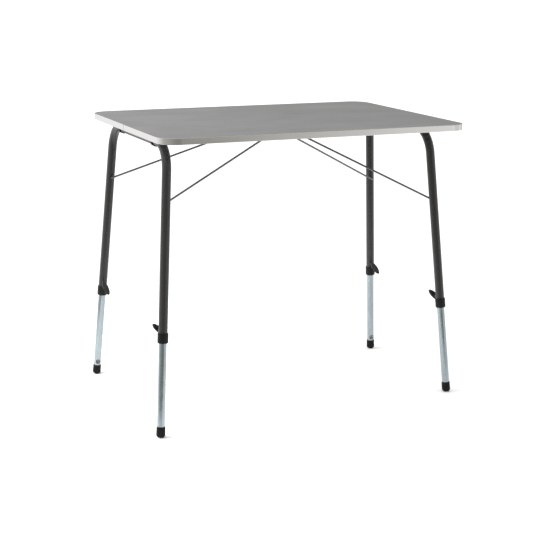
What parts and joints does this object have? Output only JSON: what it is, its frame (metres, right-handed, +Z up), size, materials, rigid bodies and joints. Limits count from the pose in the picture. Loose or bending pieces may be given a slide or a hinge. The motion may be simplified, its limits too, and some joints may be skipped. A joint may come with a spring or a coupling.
{
  "type": "camping table",
  "caption": "Folding camping table: rectangular laminate top with a metal edge on nesting U-shaped tube frames with telescopic clamped legs, braced by wire stays.",
  "frame": {"origin": "on the floor under the middle of the top", "axes": "+X along the length to the narrow frame, +Y to the back, +Z up"},
  "size_m": [0.833, 0.6, 0.7155],
  "materials": {
    "laminate": "grey streaked laminate",
    "edge_metal": "satin",
    "black_enamel": "semi-gloss",
    "black_plastic": "moulded",
    "zinc_tube": "bright zinc plate",
    "zinc": "zinc plate",
    "stay_wire": "semi-gloss",
    "foot_rubber": "matte",
    "brass": "turned"
  },
  "bodies": {
    "tabletop": {"tabletop_board": "laminate", "edge_profile": "edge_metal", "pivot_clip_screws": "zinc", "stay_catch_screws": "zinc", "left_stay_catch": "black_plastic", "left_front_pivot_clip": "black_plastic", "left_back_pivot_clip": "black_plastic", "right_stay_catch": "black_plastic", "right_front_pivot_clip": "black_plastic", "right_back_pivot_clip": "black_plastic"},
    "left_legs": {"left_leg_frame": "black_enamel", "left_front_collar": "black_plastic", "left_front_clamp_insert": "brass", "left_back_collar": "black_plastic", "left_back_clamp_insert": "brass"},
    "left_brace": {"left_stay": "stay_wire"},
    "left_front_lower_leg": {"left_front_inner_leg": "zinc_tube", "left_front_foot": "foot_rubber"},
    "left_front_clamp": {"left_front_clamp_screw": "zinc", "left_front_wing_knob": "black_plastic"},
    "left_back_lower_leg": {"left_back_inner_leg": "zinc_tube", "left_back_foot": "foot_rubber"},
    "left_back_clamp": {"left_back_clamp_screw": "zinc", "left_back_wing_knob": "black_plastic"},
    "right_legs": {"right_leg_frame": "black_enamel", "right_front_collar": "black_plastic", "right_front_clamp_insert": "brass", "right_back_collar": "black_plastic", "right_back_clamp_insert": "brass"},
    "right_brace": {"right_stay": "stay_wire"},
    "right_front_lower_leg": {"right_front_inner_leg": "zinc_tube", "right_front_foot": "foot_rubber"},
    "right_front_clamp": {"right_front_clamp_screw": "zinc", "right_front_wing_knob": "black_plastic"},
    "right_back_lower_leg": {"right_back_inner_leg": "zinc_tube", "right_back_foot": "foot_rubber"},
    "right_back_clamp": {"right_back_clamp_screw": "zinc", "right_back_wing_knob": "black_plastic"}
  },
  "joints": [
    {"name": "left_fold", "type": "hinge", "parent": "tabletop", "child": "left_legs", "pos_m": [-0.36, 0, 0.69], "axis": [0, -1, 0], "range_deg": [0, 91.5]},
    {"name": "left_brace_swing", "type": "hinge", "parent": "left_legs", "child": "left_brace", "pos_m": [-0.36933, 0, 0.55], "axis": [0, 1, 0], "range_deg": [0, 124]},
    {"name": "left_front_slide", "type": "slide", "parent": "left_legs", "child": "left_front_lower_leg", "axis": [0.0662, 0.0902, 0.9937], "range_m": [0, 0.195]},
    {"name": "left_front_clamp_turn", "type": "hinge", "parent": "left_legs", "child": "left_front_clamp", "pos_m": [-0.38907, -0.25557, 0.25389], "axis": [-0.006, 0.9959, -0.09], "range_deg": [0, 270]},
    {"name": "left_back_slide", "type": "slide", "parent": "left_legs", "child": "left_back_lower_leg", "axis": [0.0662, -0.0902, 0.9937], "range_m": [0, 0.195]},
    {"name": "left_back_clamp_turn", "type": "hinge", "parent": "left_legs", "child": "left_back_clamp", "pos_m": [-0.38907, 0.25557, 0.25389], "axis": [-0.006, -0.9959, -0.09], "range_deg": [0, 270]},
    {"name": "right_fold", "type": "hinge", "parent": "tabletop", "child": "right_legs", "pos_m": [0.36, 0, 0.69], "axis": [0, 1, 0], "range_deg": [0, 91.5]},
    {"name": "right_brace_swing", "type": "hinge", "parent": "right_legs", "child": "right_brace", "pos_m": [0.37207, 0, 0.509], "axis": [0, -1, 0], "range_deg": [0, 127.3]},
    {"name": "right_front_slide", "type": "slide", "parent": "right_legs", "child": "right_front_lower_leg", "axis": [-0.0663, 0.0787, 0.9947], "range_m": [0, 0.195]},
    {"name": "right_front_clamp_turn", "type": "hinge", "parent": "right_legs", "child": "right_front_clamp", "pos_m": [0.38906, -0.20099, 0.2541], "axis": [0.0052, 0.9969, -0.0785], "range_deg": [0, 270]},
    {"name": "right_back_slide", "type": "slide", "parent": "right_legs", "child": "right_back_lower_leg", "axis": [-0.0663, -0.0787, 0.9947], "range_m": [0, 0.195]},
    {"name": "right_back_clamp_turn", "type": "hinge", "parent": "right_legs", "child": "right_back_clamp", "pos_m": [0.38906, 0.20099, 0.2541], "axis": [0.0052, -0.9969, -0.0785], "range_deg": [0, 270]}
  ],
  "couplings": [
    {"joint": "left_brace_swing", "follows": "left_fold", "ratio": 1.3501},
    {"joint": "right_brace_swing", "follows": "right_fold", "ratio": 1.3861}
  ]
}
